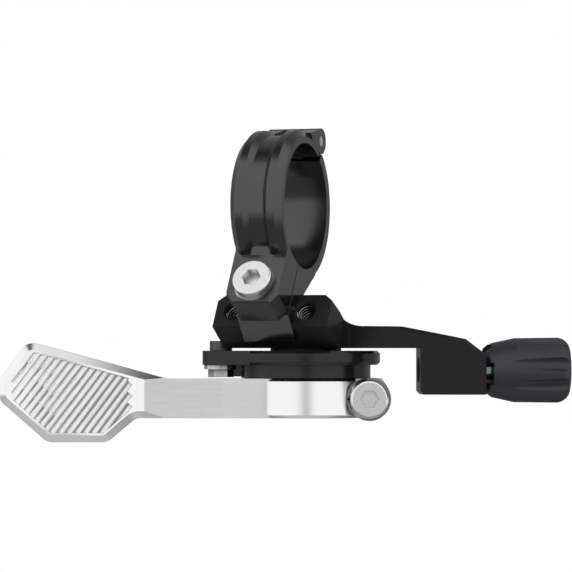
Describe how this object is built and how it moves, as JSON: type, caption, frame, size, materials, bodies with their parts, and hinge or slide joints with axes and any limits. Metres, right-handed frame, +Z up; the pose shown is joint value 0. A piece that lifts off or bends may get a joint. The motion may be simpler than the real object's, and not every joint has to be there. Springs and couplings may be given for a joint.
{
  "type": "dropper post remote lever",
  "caption": "Hinged handlebar clamp carrying a bearing-mounted thumb lever with a dished, scalloped paddle, a cable pulley and a barrel adjuster in line with the cable.",
  "frame": {"origin": "centre of the bar clamp's bore, half way along it", "axes": "+X along the handlebar from the paddle towards the cable adjuster, +Z up along the lever's pivot, +Y from the front face to the back"},
  "size_m": [0.0971, 0.0391, 0.0557],
  "materials": {
    "black_clamp": "satin",
    "black_body": "satin",
    "bright_alloy": "brushed",
    "slate": "satin",
    "steel": "satin",
    "black_steel": "satin",
    "brass": "satin",
    "seal": "matte",
    "blue_patch": "matte"
  },
  "bodies": {
    "mount_body": {"clamp_front": "black_clamp", "clamp_rear": "black_clamp", "hinge_pin": "steel", "clamp_bolt": "steel", "main_body": "black_body", "axle_washer": "steel", "axle_screw": "steel", "bearing_inner_race": "steel"},
    "lever": {"thumb_lever": "bright_alloy", "cable_pulley": "black_body", "bearing_outer_race": "steel", "bearing_seal_upper": "seal", "bearing_seal_lower": "seal", "anchor_screw": "black_steel", "anchor_washer": "steel", "anchor_nut": "steel", "pinch_bolt": "steel"},
    "roller_ring": {"bearing_rollers": "steel", "bearing_cage": "brass"},
    "adjuster_stem": {"adjuster_barrel": "black_steel"},
    "adjuster_hand": {"adjuster_grip": "slate", "thread_lock_patch": "blue_patch"}
  },
  "joints": [
    {"name": "lever_pivot", "type": "hinge", "parent": "mount_body", "child": "lever", "pos_m": [0.00255, 0.00625, -0.0277], "axis": [0, 0, -1], "range_deg": [0, 30]},
    {"name": "cage_turn", "type": "hinge", "parent": "mount_body", "child": "roller_ring", "pos_m": [0.00255, 0.00625, -0.0277], "axis": [0, 0, -1], "range_deg": [0, 17]},
    {"name": "adjuster_travel", "type": "slide", "parent": "mount_body", "child": "adjuster_stem", "axis": [0.9135, 0.4067, 0], "range_m": [0, 0.004]},
    {"name": "adjuster_turn", "type": "hinge", "parent": "adjuster_stem", "child": "adjuster_hand", "pos_m": [0.0351, 0.00728, -0.02885], "axis": [0.9135, 0.4067, 0], "range_deg": [0, 1800]}
  ],
  "couplings": [
    {"joint": "cage_turn", "follows": "lever_pivot", "ratio": 0.5333},
    {"joint": "adjuster_turn", "follows": "adjuster_travel", "rad_per_m": 7853.9}
  ]
}
